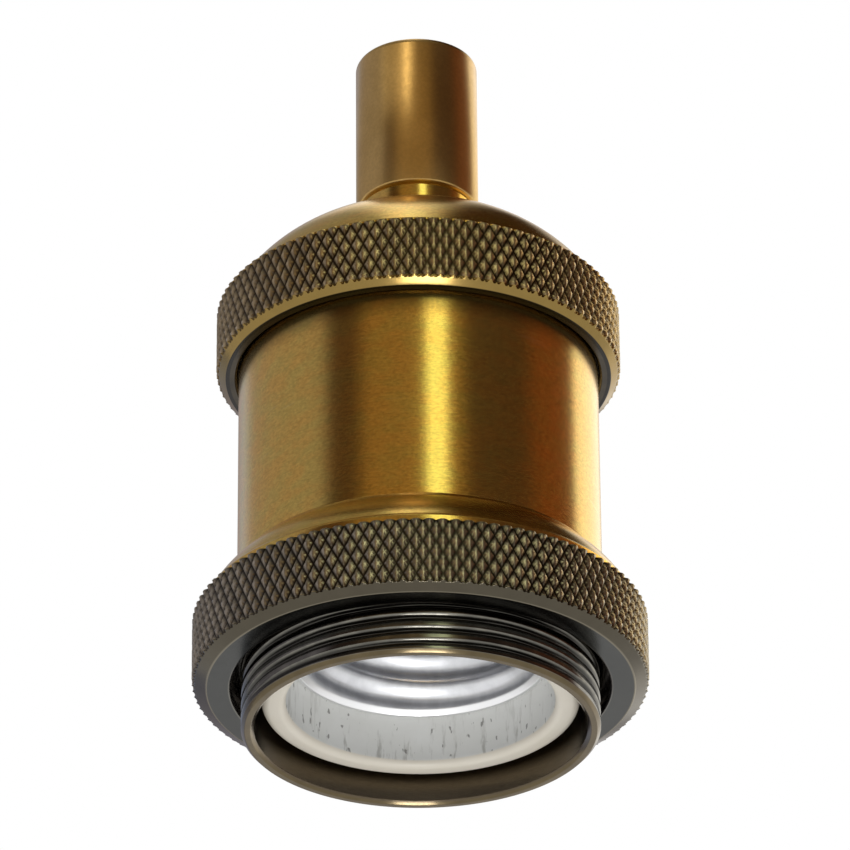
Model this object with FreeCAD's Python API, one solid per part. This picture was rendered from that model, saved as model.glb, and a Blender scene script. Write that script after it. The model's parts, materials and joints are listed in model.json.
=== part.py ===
import FreeCAD, Part
import math
import os

# A bare-metal pendant lamp holder: a turned brass sleeve round a ceramic lamp insert, closed by a
# domed cap with a cord grip. Millimetres, +Z up, origin at the centre of the sleeve's lower rim.

# ------------------------------------------------------------------ driving dimensions
# sleeve
sleeve_radius = 20.0
sleeve_bore_radius = 18.05
sleeve_show = 24.85             # plain body between the shade ring and the cap
sleeve_thread_radius = 19.5     # both threaded ends
skirt_show = 5.06               # thread left bare below the shade ring
skirt_rim_chamfer = 0.4
thread_relief_width = 1.2
thread_relief_depth = 0.6

# knurling, rolled with one tool on both rims
knurl_pitch = 1.43              # round the rim
knurl_row = 1.28                # from one staggered row to the next
knurl_depth = 0.5

# shade ring
ring_radius = 24.86
ring_lower_chamfer = 0.75
ring_lower_radius = 23.3
ring_knurl_height = 7.25
ring_band_radius = 23.95
ring_band_height = 0.95
ring_collar_height = 4.65
ring_collar_radius = 20.3
ring_collar_hollow = 0.25       # how far the collar's cone curves in
ring_mouth_radius = 20.7
ring_mouth_depth = 1.0

# cap
cap_radius = 22.5
cap_lower_chamfer = 1.35
cap_lower_radius = 21.4
cap_knurl_height = 6.5
cap_upper_chamfer = 0.4
cap_shoulder_radius = 21.2
cap_shoulder_height = 0.4
dome_height = 9.7
dome_bulge = 2.05               # of the dome's arc over its chord
dome_wall = 1.6
neck_radius = 6.4
neck_height = 3.5
cap_seat_drop = 5.7             # from the neck's top down to the flat seat inside the dome
cap_socket_depth = 0.8          # plain recess that takes the full sleeve diameter
cap_thread_length = 6.4

# cord grip and nipple
grip_radius = 6.9
grip_height = 19.05
grip_top_round = 0.8
grip_thread_depth = 8.0
cable_radius = 4.0
nipple_radius = 5.0
nipple_bore_radius = 3.7
nipple_end_gap = 0.8            # between the nipple's end and the floor of the grip's thread
nipple_below_nut = 1.0
grip_screw_radius = 2.0
grip_screw_length = 2.45
grip_screw_from_top = 5.5

# stack under the cap
washer_thickness = 0.8
washer_radius = 8.2
washer_tooth_depth = 1.2
washer_teeth = 14
nut_thickness = 3.0
nut_across_flats = 14.0

# bridge, a folded strip that the ceramic hangs from
strip_thickness = 1.2
strip_bend = 0.7                # inside radius
bridge_width = 13.5
bridge_height = 11.8           # from the ceramic's top to the strip's top
bridge_leg_gap = 1.2            # from a lock nut's flat to a leg
bridge_foot_reach = 15.8
bridge_screw_x = 12.8
square_nut_drop = 4.0           # from the ceramic's top to the nut's underside

# ceramic insert
core_radius = 17.28
core_rim_round = 0.9
core_mouth_radius = 14.6
core_mouth_depth = 6.1
core_bore_depth = 24.5          # from the mouth's step to the floor
core_floor = 5.0
core_wall_height = 5.5          # of the wall round the terminals
core_wall = 2.4
notch_width = 9.0
tower_width = 8.4
tower_inner_x = 8.2

# lamp shell, rolled to the E27 thread
shell_wall = 0.35
shell_thread_major = 13.3
shell_thread_minor = 12.2
shell_thread_pitch = 3.63
shell_turns = 5
shell_lead = 2.0                # from the lip to the first crest
shell_lip_radius = 14.2
shell_flange_radius = 6.6       # inner edge of the end flange
shell_slot_width = 8.0

# contacts and terminals
leaf_thickness = 0.4
leaf_width = 5.0
leaf_pad_half = 2.9
leaf_drop = 3.6                 # from the ceramic floor to the free tip
leaf_tip_half = 2.3
button_radius = 2.2
button_height = 1.2
contact_rivet_y = 6.3
shell_rivet_x = 5.4
shell_rivet_y = 7.2
rivet_radius = 1.1
rivet_head_radius = 2.1
rivet_head_height = 0.7
plate_thickness = 0.8
block_width = 6.4
block_near = 8.6
block_far = 14.0
block_height = 7.3              # above the ceramic floor
wire_hole_radius = 1.4
wire_hole_depth = 5.4
terminal_screw_z = 4.5          # above the ceramic floor

# M3 screws and square nuts
m3_radius = 1.5
m3_head_radius = 2.6
m3_head_height = 1.5
m3_nut_side = 5.5
m3_nut_height = 2.0
slot_width = 0.7
slot_depth = 0.7

# clearances
thread_clearance = 0.05
sliding_clearance = 0.1
hole_clearance = 0.1
edge_break = 0.35

# ------------------------------------------------------------------ heights that follow
ring_z = skirt_show
ring_knurl_z = ring_z + ring_lower_chamfer
ring_band_z = ring_knurl_z + ring_knurl_height
ring_collar_z = ring_band_z + ring_band_height
ring_top_z = ring_collar_z + ring_collar_height
cap_z = ring_top_z + sleeve_show
cap_knurl_z = cap_z + cap_lower_chamfer
cap_knurl_top_z = cap_knurl_z + cap_knurl_height
cap_rim_z = cap_knurl_top_z + cap_upper_chamfer
dome_z = cap_rim_z + cap_shoulder_height
neck_z = dome_z + dome_height
grip_z = neck_z + neck_height
grip_top_z = grip_z + grip_height
seat_z = grip_z - cap_seat_drop
nut_top_z = seat_z - washer_thickness
bridge_top_z = nut_top_z - nut_thickness
bridge_low_z = bridge_top_z - strip_thickness
sleeve_shoulder_z = cap_z + cap_socket_depth
sleeve_top_z = sleeve_shoulder_z + cap_thread_length - sliding_clearance
core_top_z = bridge_top_z - bridge_height
core_deck_z = core_top_z - core_wall_height
core_floor_z = core_deck_z - core_floor
core_step_z = core_floor_z - core_bore_depth
core_rim_z = core_step_z - core_mouth_depth
foot_top_z = core_top_z + strip_thickness
square_nut_z = core_top_z - square_nut_drop
bridge_half_span = nut_across_flats / 2 + bridge_leg_gap + strip_thickness
earth_screw_z = foot_top_z + m3_head_height + m3_head_radius + edge_break
grip_screw_z = grip_top_z - grip_screw_from_top
terminal_axis_z = core_deck_z + terminal_screw_z

V = FreeCAD.Vector
UP = V(0, 0, 1)


# ------------------------------------------------------------------ drawing helpers
class Bend(tuple):
    """A point that the run between two corners curves through."""


def corner_cut(before, corner, after, rounding):
    """Start, middle and end of the arc that rounds a corner."""
    back = (before - corner).normalize()
    ahead = (after - corner).normalize()
    half = back.getAngle(ahead) / 2
    inward = (back + ahead).normalize()
    reach = rounding / math.tan(half)
    middle = corner + inward * (rounding / math.sin(half) - rounding)
    return corner + back * reach, middle, corner + ahead * reach


def outline(corners, closed=True, plane=lambda a, b: V(a, 0, b)):
    """Wire through corners (a, b) or (a, b, rounding), with a Bend where a run is an arc."""
    stops = []
    bends = {}
    for c in corners:
        if isinstance(c, Bend):
            bends[len(stops) - 1] = plane(*c)
        else:
            stops.append(c)
    spots = [plane(c[0], c[1]) for c in stops]
    cuts = []
    for i, stop in enumerate(stops):
        if len(stop) == 3:
            cuts.append(corner_cut(spots[i - 1], spots[i], spots[(i + 1) % len(spots)], stop[2]))
        else:
            cuts.append((spots[i], None, spots[i]))
    edges = []
    for i, (start, middle, end) in enumerate(cuts):
        if middle:
            edges.append(Part.Arc(start, middle, end).toShape())
        if i == len(cuts) - 1 and not closed:
            break
        arrive = cuts[(i + 1) % len(cuts)][0]
        if i in bends:
            edges.append(Part.Arc(end, bends[i], arrive).toShape())
        elif end.distanceToPoint(arrive) > 1e-6:
            edges.append(Part.makeLine(end, arrive))
    return Part.Wire(edges)


def turned(corners):
    """Solid of revolution from a closed half-section of (radius, height) corners."""
    return Part.Face(outline(corners)).revolve(V(0, 0, 0), UP, 360)


def block(x0, x1, y0, y1, z0, z1):
    return Part.makeBox(x1 - x0, y1 - y0, z1 - z0, V(x0, y0, z0))


def rod(radius, start, end):
    along = end - start
    return Part.makeCylinder(radius, along.Length, start, along)


def aimed(shape, place, direction):
    """Shape drawn along +Z at the origin, set at place and turned to a direction."""
    turn = FreeCAD.Rotation(UP, direction)
    moved = shape.copy()
    moved.Placement = FreeCAD.Placement(place, turn)
    return moved


def ring_point(radius, angle, z):
    return V(radius * math.cos(angle), radius * math.sin(angle), z)


def facet(*corners):
    return Part.Face(Part.makePolygon(list(corners) + [corners[0]]))


# ------------------------------------------------------------------ knurled turnings
def knurled(crest, z_low, z_high, low_edge, high_edge, section):
    """Turned piece whose rim carries a diamond knurl.

    Two crossing sets of helical grooves leave staggered rows of four-sided points. The crossings
    lie on the root radius and the points on the crest radius. Below and above, the grooves run out
    on a chamfer that ends on low_edge and high_edge, given as (radius, height). section is the
    open half-section that goes on from the upper edge, over the piece and back to the lower edge.
    """
    count = round(2 * math.pi * crest / knurl_pitch)
    rows = max(2, round((z_high - z_low) / knurl_row))
    step = 2 * math.pi / count
    root = crest - knurl_depth

    def crossing(row, i):
        return ring_point(root, (i + row % 2 / 2) * step, z_low + (z_high - z_low) * row / rows)

    def peak(row, i):
        return ring_point(crest, (i + row % 2 / 2 + 0.5) * step, z_low + (z_high - z_low) * row / rows)

    faces = []
    for row in range(rows):
        even = row % 2 == 0
        for i in range(count):
            over = i if even else i + 1
            faces.append(facet(peak(row, i), crossing(row, i + 1), crossing(row + 1, over)))
            faces.append(facet(peak(row, i), crossing(row + 1, over), crossing(row, i)))
            under = i + 1 if even else i
            faces.append(facet(peak(row + 1, i), crossing(row, under), crossing(row + 1, i + 1)))
            faces.append(facet(peak(row + 1, i), crossing(row + 1, i), crossing(row, under)))
    rims = []
    for row, (edge_radius, edge_z) in ((0, low_edge), (rows, high_edge)):
        shift = row % 2 / 2
        rim = [ring_point(edge_radius, (i + shift) * step, edge_z) for i in range(count)]
        for i in range(count):
            far = rim[(i + 1) % count]
            faces.append(facet(crossing(row, i), peak(row, i), rim[i]))
            faces.append(facet(peak(row, i), far, rim[i]))
            faces.append(facet(peak(row, i), crossing(row, i + 1), far))
        rims.append(rim)
    rest = outline(section, closed=False)
    ends = (section[-1], section[0])
    for rim, (end_radius, end_z) in zip(rims, ends):
        hole = Part.Wire(Part.makeCircle(end_radius, V(0, 0, end_z), UP))
        rim_wire = Part.makePolygon(rim + [rim[0]])
        faces.append(Part.makeFace([rim_wire, hole], "Part::FaceMakerBullseye"))
    faces += rest.revolve(V(0, 0, 0), UP, 360).Faces
    skin = Part.Shell(faces)
    skin.sewShape()
    solid = Part.Solid(skin)
    if solid.Volume < 0:
        solid.reverse()
    return solid


def make_shade_ring():
    bore = sleeve_thread_radius + thread_clearance
    collar_foot = ring_band_radius - edge_break
    collar_rise = ring_collar_z + edge_break
    hollow = Bend(((collar_foot + ring_collar_radius) / 2 - ring_collar_hollow,
                   (collar_rise + ring_top_z) / 2 - ring_collar_hollow))
    section = [(ring_band_radius, ring_band_z), (ring_band_radius, ring_collar_z),
               (collar_foot, collar_rise), hollow, (ring_collar_radius, ring_top_z - edge_break),
               (ring_collar_radius - edge_break / 2, ring_top_z), (bore, ring_top_z),
               (bore, ring_z + ring_mouth_depth + ring_mouth_radius - bore),
               (ring_mouth_radius, ring_z + ring_mouth_depth), (ring_mouth_radius, ring_z)]
    upper_edge = (ring_radius - knurl_depth - sliding_clearance, ring_band_z)
    return knurled(ring_radius, ring_knurl_z, ring_band_z, (ring_lower_radius, ring_z), upper_edge,
                   section)


def dome_arc():
    """Centre and radius of the dome's outer arc in the half-plane."""
    foot = V(cap_shoulder_radius, 0, dome_z)
    crown = V(neck_radius, 0, neck_z)
    chord = crown - foot
    outward = V(chord.z, 0, -chord.x).normalize()
    radius = chord.Length ** 2 / (8 * dome_bulge) + dome_bulge / 2
    middle = (foot + crown) / 2 + outward * dome_bulge
    return middle - outward * radius, radius, middle


def make_top_cap():
    centre, radius, middle = dome_arc()
    inner = radius - dome_wall
    bore = nipple_radius + thread_clearance
    thread = sleeve_thread_radius + thread_clearance
    thread_top = sleeve_shoulder_z + cap_thread_length
    seat_radius = centre.x + math.sqrt(inner ** 2 - (seat_z - centre.z) ** 2)
    cavity_radius = thread - dome_wall / 2
    cavity_z = centre.z + math.sqrt(inner ** 2 - (cavity_radius - centre.x) ** 2)
    half_z = (seat_z + cavity_z) / 2
    under = Bend((centre.x + math.sqrt(inner ** 2 - (half_z - centre.z) ** 2), half_z))
    socket = sleeve_radius + sliding_clearance
    section = [(cap_shoulder_radius, cap_rim_z), (cap_shoulder_radius, dome_z),
               Bend((middle.x, middle.z)), (neck_radius, neck_z), (neck_radius, grip_z),
               (bore, grip_z), (bore, seat_z), (seat_radius, seat_z), under,
               (cavity_radius, cavity_z), (cavity_radius, thread_top), (thread, thread_top),
               (thread, sleeve_shoulder_z), (socket, sleeve_shoulder_z),
               (socket, cap_z + edge_break), (socket + edge_break, cap_z)]
    root = cap_radius - knurl_depth
    return knurled(cap_radius, cap_knurl_z, cap_knurl_top_z, (cap_lower_radius, cap_z),
                   (root - edge_break / 2, cap_rim_z), section)


# ------------------------------------------------------------------ plain turnings
def make_sleeve():
    relief = sleeve_thread_radius - thread_relief_depth
    rim = skirt_rim_chamfer
    return turned([
        (sleeve_bore_radius, rim), (sleeve_bore_radius + rim, 0), (sleeve_thread_radius - rim, 0),
        (sleeve_thread_radius, rim), (sleeve_thread_radius, ring_top_z - thread_relief_width),
        (relief, ring_top_z - thread_relief_width), (relief, ring_top_z), (sleeve_radius, ring_top_z),
        (sleeve_radius, sleeve_shoulder_z), (sleeve_thread_radius, sleeve_shoulder_z),
        (sleeve_thread_radius, sleeve_top_z - rim), (sleeve_thread_radius - rim, sleeve_top_z),
        (sleeve_bore_radius, sleeve_top_z)])


def make_cord_grip():
    bore = nipple_radius + thread_clearance
    thread_top = grip_z + grip_thread_depth
    body = turned([
        (bore + edge_break, grip_z), (grip_radius - edge_break, grip_z),
        (grip_radius, grip_z + edge_break), (grip_radius, grip_top_z, grip_top_round),
        (cable_radius, grip_top_z, grip_top_round), (cable_radius, thread_top), (bore, thread_top),
        (bore, grip_z + edge_break)])
    screw_hole = rod(grip_screw_radius + thread_clearance, V(0, 0, grip_screw_z),
                     V(0, grip_radius * 2, grip_screw_z))
    return body.cut(screw_hole)


def make_cord_grip_screw():
    """Headless slotted screw that bears on the cable from the rear of the grip."""
    r = grip_screw_radius
    body = turned([(0, -grip_screw_length), (r - edge_break, -grip_screw_length),
                   (r, -grip_screw_length + edge_break), (r, -edge_break), (r - edge_break, 0),
                   (0, 0)])
    body = body.cut(block(-r, r, -slot_width / 2, slot_width / 2, -slot_depth, 1))
    return aimed(body, V(0, grip_radius - edge_break, grip_screw_z), V(0, 1, 0))


def make_nipple():
    low = bridge_low_z - nut_thickness - nipple_below_nut
    high = grip_z + grip_thread_depth - nipple_end_gap
    r, bore = nipple_radius, nipple_bore_radius
    return turned([(bore, low), (r - edge_break, low), (r, low + edge_break), (r, high - edge_break),
                   (r - edge_break, high), (bore, high)])


def make_toothed_washer():
    root = washer_radius - washer_tooth_depth
    tooth = math.pi / washer_teeth
    corners = [ring_point(root if i % 2 else washer_radius, i * tooth, nut_top_z)
               for i in range(2 * washer_teeth)]
    star = facet(*corners).extrude(UP * washer_thickness)
    hole = rod(nipple_radius + hole_clearance, V(0, 0, nut_top_z), V(0, 0, seat_z))
    return star.cut(hole)


def make_lock_nut(low_z):
    corner = nut_across_flats / math.sqrt(3)
    hexagon = [ring_point(corner, math.radians(60 * i + 30), low_z) for i in range(6)]
    prism = facet(*hexagon).extrude(UP * nut_thickness)
    flat = nut_across_flats / 2
    bevel = (corner - flat) / math.sqrt(3)
    bore = nipple_radius + thread_clearance
    high_z = low_z + nut_thickness
    turning = turned([(bore, low_z), (flat, low_z), (corner, low_z + bevel),
                      (corner, high_z - bevel), (flat, high_z), (bore, high_z)])
    return prism.common(turning)


# ------------------------------------------------------------------ screws, nuts and rivets
def m3_screw(length):
    """Slotted cheese-head screw, head up, with its seat at the origin."""
    r, head, tall = m3_radius, m3_head_radius, m3_head_height
    body = turned([(0, -length), (r - edge_break, -length), (r, -length + edge_break), (r, 0),
                   (head, 0), (head, tall, edge_break), (0, tall)])
    return body.cut(block(-head, head, -slot_width / 2, slot_width / 2, tall - slot_depth, tall + 1))


def rivet(x, y, low_z, high_z):
    """Solid rivet with its heads on the outer faces low_z and high_z."""
    r, head, tall = rivet_radius, rivet_head_radius, rivet_head_height
    body = turned([(0, low_z - tall), (head, low_z - tall, edge_break), (head, low_z), (r, low_z),
                   (r, high_z), (head, high_z), (head, high_z + tall, edge_break),
                   (0, high_z + tall)])
    body.translate(V(x, y, 0))
    return body


bridge_screw_length = foot_top_z - square_nut_z + edge_break


def make_bridge_screw(side):
    return aimed(m3_screw(bridge_screw_length), V(side * bridge_screw_x, 0, foot_top_z), UP)


def make_square_nut(side):
    half = m3_nut_side / 2
    x = side * bridge_screw_x
    body = block(x - half, x + half, -half, half, square_nut_z, square_nut_z + m3_nut_height)
    return body.cut(rod(m3_radius + thread_clearance, V(x, 0, square_nut_z), V(x, 0, core_top_z)))


# ------------------------------------------------------------------ bridge
def make_mounting_bridge():
    """Strip folded into a bracket: its top hangs from the nipple, its feet stand on the ceramic."""
    t = strip_thickness
    leg, reach = bridge_half_span, bridge_foot_reach
    bend = strip_bend
    half = [(leg - t, bridge_low_z, bend), (leg - t, core_top_z, bend + t), (reach, core_top_z),
            (reach, foot_top_z), (leg, foot_top_z, bend), (leg, bridge_top_z, bend + t)]
    mirrored = [(-c[0],) + tuple(c[1:]) for c in reversed(half)]
    section = Part.Face(outline(half + mirrored))
    strip = section.extrude(V(0, bridge_width, 0))
    strip.translate(V(0, -bridge_width / 2, 0))
    strip = strip.cut(rod(nipple_radius + hole_clearance, V(0, 0, bridge_low_z - t), V(0, 0, seat_z)))
    for x in (-bridge_screw_x, bridge_screw_x):
        strip = strip.cut(rod(m3_radius + hole_clearance, V(x, 0, core_deck_z), V(x, 0, seat_z)))
    return strip.cut(rod(m3_radius + thread_clearance, V(0, 0, earth_screw_z),
                         V(reach, 0, earth_screw_z)))


def make_earth_screw():
    """Screw in the right leg, just long enough to stop short of the lock nut."""
    length = bridge_half_span - nut_across_flats / 2 - edge_break
    return aimed(m3_screw(length), V(bridge_half_span, 0, earth_screw_z), V(1, 0, 0))


# ------------------------------------------------------------------ ceramic insert
def make_ceramic_core():
    shell_seat = shell_thread_major + shell_wall + sliding_clearance
    wall_inner = core_radius - core_wall
    body = turned([
        (core_mouth_radius, core_rim_z, core_rim_round), (core_radius, core_rim_z, core_rim_round),
        (core_radius, core_top_z, edge_break), (wall_inner, core_top_z), (wall_inner, core_deck_z),
        (0, core_deck_z), (0, core_floor_z), (shell_seat, core_floor_z),
        (shell_seat, core_step_z), (core_mouth_radius, core_step_z)])
    tower = block(tower_inner_x, wall_inner, -tower_width / 2, tower_width / 2, core_deck_z, core_top_z)
    half_slot = m3_nut_side / 2 + hole_clearance
    for side in (-1, 1):
        turn = FreeCAD.Rotation(UP, 90 - 90 * side)
        grown = tower.copy()
        grown.Placement = FreeCAD.Placement(V(0, 0, 0), turn)
        body = body.fuse(grown)
        x = side * bridge_screw_x
        slot_x = sorted((x - side * half_slot, side * core_radius * 1.1))
        body = body.cut(block(slot_x[0], slot_x[1], -half_slot, half_slot,
                              square_nut_z - hole_clearance,
                              square_nut_z + m3_nut_height + hole_clearance))
        screw_end = V(x, 0, foot_top_z - bridge_screw_length - edge_break)
        body = body.cut(rod(m3_radius + hole_clearance, screw_end, V(x, 0, foot_top_z)))
        notch_y = sorted((side * wall_inner * 0.9, side * core_radius * 1.1))
        body = body.cut(block(-notch_width / 2, notch_width / 2, notch_y[0], notch_y[1],
                              core_deck_z, foot_top_z))
    for x, y in [(0, contact_rivet_y)] + shell_rivet_places():
        body = body.cut(rod(rivet_radius + hole_clearance, V(x, y, core_floor_z - 1),
                            V(x, y, core_deck_z + 1)))
    return body.removeSplitter()


def shell_rivet_places():
    return [(side * shell_rivet_x, -shell_rivet_y) for side in (-1, 1)]


# ------------------------------------------------------------------ lamp shell
def make_screw_shell():
    """Thin brass shell rolled to the lamp's round thread, with a flange at its closed end."""
    inner, crest = shell_thread_major, shell_thread_minor
    half = shell_thread_pitch / 2
    first = core_step_z + shell_lead
    flange_z = core_floor_z - shell_wall
    mean = (inner + crest) / 2

    def wave(offset):
        """Crests and valleys as arcs, met halfway between them."""
        corners = [(inner + offset, first - half)]
        for turn in range(shell_turns):
            z = first + turn * shell_thread_pitch
            corners += [(mean + offset, z - half / 2), Bend((crest + offset, z)),
                        (mean + offset, z + half / 2), Bend((inner + offset, z + half))]
        return corners[:-1] + [(inner + offset, z + half)]

    inside = wave(0)
    outside = wave(shell_wall)
    lip = [(shell_lip_radius, core_step_z - shell_wall), (shell_lip_radius, core_step_z)]
    section = ([(inner, core_step_z - shell_wall)] + inside
               + [(inner, flange_z), (shell_flange_radius, flange_z),
                  (shell_flange_radius, core_floor_z), (inner + shell_wall, core_floor_z)]
               + outside[::-1] + [(inner + shell_wall, core_step_z)] + lip[::-1])
    shell = turned(section)
    slot = block(-shell_slot_width / 2, shell_slot_width / 2, 0, inner - 1, flange_z - 1,
                 core_floor_z + 1)
    shell = shell.cut(slot)
    for x, y in shell_rivet_places():
        shell = shell.cut(rod(rivet_radius + hole_clearance, V(x, y, flange_z - 1),
                              V(x, y, core_floor_z + 1)))
    return shell


# ------------------------------------------------------------------ contacts and terminals
button_seat_z = core_floor_z - leaf_drop


def make_contact_spring():
    """Springy leaf: riveted at one side, it slopes down to carry the button on the axis."""
    t = leaf_thickness
    pad_near = contact_rivet_y - leaf_pad_half
    pad_far = contact_rivet_y + leaf_pad_half
    slope = [(pad_far, core_floor_z), (pad_near, core_floor_z, t),
             (leaf_tip_half, button_seat_z + t, t), (-leaf_tip_half, button_seat_z + t),
             (-leaf_tip_half, button_seat_z), (leaf_tip_half, button_seat_z, t * 2),
             (pad_near, core_floor_z - t, t * 2), (pad_far, core_floor_z - t)]
    side = outline(slope, plane=lambda y, z: V(0, y, z))
    leaf = Part.Face(side).extrude(V(leaf_width, 0, 0))
    leaf.translate(V(-leaf_width / 2, 0, 0))
    leaf = leaf.cut(rod(rivet_radius + hole_clearance, V(0, contact_rivet_y, button_seat_z),
                        V(0, contact_rivet_y, core_deck_z)))
    return leaf.cut(rod(rivet_radius + hole_clearance, V(0, 0, button_seat_z - 1),
                        V(0, 0, core_floor_z)))


def make_contact_button():
    r, head, t = rivet_radius, button_radius, leaf_thickness
    z = button_seat_z
    return turned([(0, z - button_height), Bend((head * 0.72, z - button_height * 0.8)),
                   (head, z - button_height * 0.3), (head, z), (r, z), (r, z + t),
                   (r + edge_break, z + t), (r + edge_break, z + t + edge_break),
                   (0, z + t + edge_break)])


def terminal(side, plate):
    """Brass plate on the ceramic deck with a pillar that takes the wire from above."""
    near, far = sorted((side * block_near, side * block_far))
    half = block_width / 2
    deck = core_deck_z
    pillar = block(-half, half, near, far, deck, deck + block_height)
    wire_y = side * (block_near + wire_hole_radius + plate_thickness)
    body = plate.fuse(pillar)
    body = body.cut(rod(wire_hole_radius, V(0, wire_y, deck + block_height - wire_hole_depth),
                        V(0, wire_y, deck + block_height + 1)))
    body = body.cut(rod(m3_radius + thread_clearance, V(0, wire_y, terminal_axis_z),
                        V(0, side * (block_far + 1), terminal_axis_z)))
    return body.removeSplitter()


def make_live_terminal():
    near = contact_rivet_y - rivet_head_radius - edge_break
    half = leaf_width / 2
    plate = block(-half, half, near, block_far, core_deck_z, core_deck_z + plate_thickness)
    plate = plate.cut(rod(rivet_radius + hole_clearance, V(0, contact_rivet_y, core_deck_z - 1),
                          V(0, contact_rivet_y, core_deck_z + 2)))
    return terminal(1, plate)


def make_neutral_terminal():
    reach = rivet_head_radius + edge_break
    half = shell_rivet_x + reach
    near = shell_rivet_y - reach
    low, high = core_deck_z, core_deck_z + plate_thickness
    bar = block(-half, half, -shell_rivet_y - reach, -near, low, high)
    tail = block(-block_width / 2, block_width / 2, -block_far, -near, low, high)
    plate = bar.fuse(tail)
    for x, y in shell_rivet_places():
        plate = plate.cut(rod(rivet_radius + hole_clearance, V(x, y, low - 1), V(x, y, high + 1)))
    return terminal(-1, plate)


def make_terminal_screw(side):
    seat = V(0, side * (block_far + hole_clearance), terminal_axis_z)
    length = block_far - block_near - 2 * wire_hole_radius - plate_thickness + edge_break
    return aimed(m3_screw(length), seat, V(0, side, 0))


def make_contact_rivet():
    return rivet(0, contact_rivet_y, core_floor_z - leaf_thickness, core_deck_z + plate_thickness)


def make_shell_rivet(side):
    return rivet(side * shell_rivet_x, -shell_rivet_y, core_floor_z - shell_wall,
                 core_deck_z + plate_thickness)


# ------------------------------------------------------------------ the assembly
nodes = {
    "sleeve": make_sleeve(),
    "shade_ring": make_shade_ring(),
    "top_cap": make_top_cap(),
    "cord_grip": make_cord_grip(),
    "cord_grip_screw": make_cord_grip_screw(),
    "nipple": make_nipple(),
    "toothed_washer": make_toothed_washer(),
    "cap_nut": make_lock_nut(bridge_top_z),
    "bridge_nut": make_lock_nut(bridge_low_z - nut_thickness),
    "mounting_bridge": make_mounting_bridge(),
    "earth_screw": make_earth_screw(),
    "bridge_screw_left": make_bridge_screw(-1),
    "bridge_screw_right": make_bridge_screw(1),
    "square_nut_left": make_square_nut(-1),
    "square_nut_right": make_square_nut(1),
    "ceramic_core": make_ceramic_core(),
    "screw_shell": make_screw_shell(),
    "contact_spring": make_contact_spring(),
    "contact_button": make_contact_button(),
    "contact_rivet": make_contact_rivet(),
    "live_terminal": make_live_terminal(),
    "live_terminal_screw": make_terminal_screw(1),
    "neutral_terminal": make_neutral_terminal(),
    "neutral_terminal_screw": make_terminal_screw(-1),
    "shell_rivet_left": make_shell_rivet(-1),
    "shell_rivet_right": make_shell_rivet(1),
}

os.makedirs("parts", exist_ok=True)
for name, shape in nodes.items():
    shape.exportStep(f"parts/{name}.step")
    box = shape.BoundBox
    print(f"{name:24s} {shape.Volume:9.1f} mm3  {len(shape.Solids)} solid  valid {shape.isValid()}"
          f"  z {box.ZMin:6.2f} to {box.ZMax:6.2f}")
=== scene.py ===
# %% [markdown]
# # A pendant lamp holder in antiqued brass
# The holder is a stack of turned pieces: a sleeve, a knurled ring for the shade, a domed cap with the
# same knurl and a plain cord grip, round a porcelain insert with a rolled metal shell. The packed
# CAD model is the fixed frame. This lesson gives its turned pieces their fine surface forms, threads
# and diamond knurls, as numpy surfaces, and then every piece its finish.

# %% Load the frame
import json
import math

import bmesh
import bpy
import numpy as np
from mathutils import Matrix, Vector

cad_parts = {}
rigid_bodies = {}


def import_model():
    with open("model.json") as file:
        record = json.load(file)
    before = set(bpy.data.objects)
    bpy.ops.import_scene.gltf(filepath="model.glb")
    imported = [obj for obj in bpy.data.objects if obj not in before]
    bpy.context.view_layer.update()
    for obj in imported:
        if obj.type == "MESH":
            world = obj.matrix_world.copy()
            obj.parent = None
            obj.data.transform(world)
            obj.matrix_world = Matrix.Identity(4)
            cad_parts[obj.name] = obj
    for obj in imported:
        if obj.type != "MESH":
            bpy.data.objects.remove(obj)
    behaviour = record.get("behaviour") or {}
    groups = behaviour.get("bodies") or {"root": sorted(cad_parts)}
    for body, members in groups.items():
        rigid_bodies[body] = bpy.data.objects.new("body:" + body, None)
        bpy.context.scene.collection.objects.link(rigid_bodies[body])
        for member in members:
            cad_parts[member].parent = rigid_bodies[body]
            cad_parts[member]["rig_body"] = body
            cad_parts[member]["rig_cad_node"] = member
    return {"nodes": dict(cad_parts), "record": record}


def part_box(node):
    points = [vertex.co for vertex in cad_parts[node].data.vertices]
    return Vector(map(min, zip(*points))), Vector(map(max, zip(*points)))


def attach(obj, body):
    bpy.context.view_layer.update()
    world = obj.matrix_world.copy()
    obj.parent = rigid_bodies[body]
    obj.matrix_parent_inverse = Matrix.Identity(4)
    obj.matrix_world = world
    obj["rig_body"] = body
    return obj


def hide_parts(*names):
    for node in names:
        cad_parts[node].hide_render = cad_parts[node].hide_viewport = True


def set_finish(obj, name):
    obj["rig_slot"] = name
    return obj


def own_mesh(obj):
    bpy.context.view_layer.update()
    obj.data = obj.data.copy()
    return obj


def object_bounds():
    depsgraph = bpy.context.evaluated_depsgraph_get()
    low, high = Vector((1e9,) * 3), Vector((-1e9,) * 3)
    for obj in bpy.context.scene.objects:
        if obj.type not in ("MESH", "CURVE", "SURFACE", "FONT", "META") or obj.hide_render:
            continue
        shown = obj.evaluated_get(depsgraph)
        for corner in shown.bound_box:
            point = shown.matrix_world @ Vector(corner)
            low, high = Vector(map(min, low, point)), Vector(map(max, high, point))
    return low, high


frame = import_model()
cad_box = [list(corner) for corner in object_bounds()]
mm = 0.001
holder_low, holder_high = (Vector(corner) for corner in cad_box)
print("holder", [round(v / mm, 2) for v in holder_high - holder_low], "mm, nodes", len(frame["nodes"]))

# %% [markdown]
# ## The camera
# The holder is looked at from below and in front, as it is when it hangs overhead, with a long lens,
# so the rings show as flat ellipses and the mouth is open to view. The camera stands on the line that
# leaves the aim point at that angle, and leans by less than half a degree.

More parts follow.
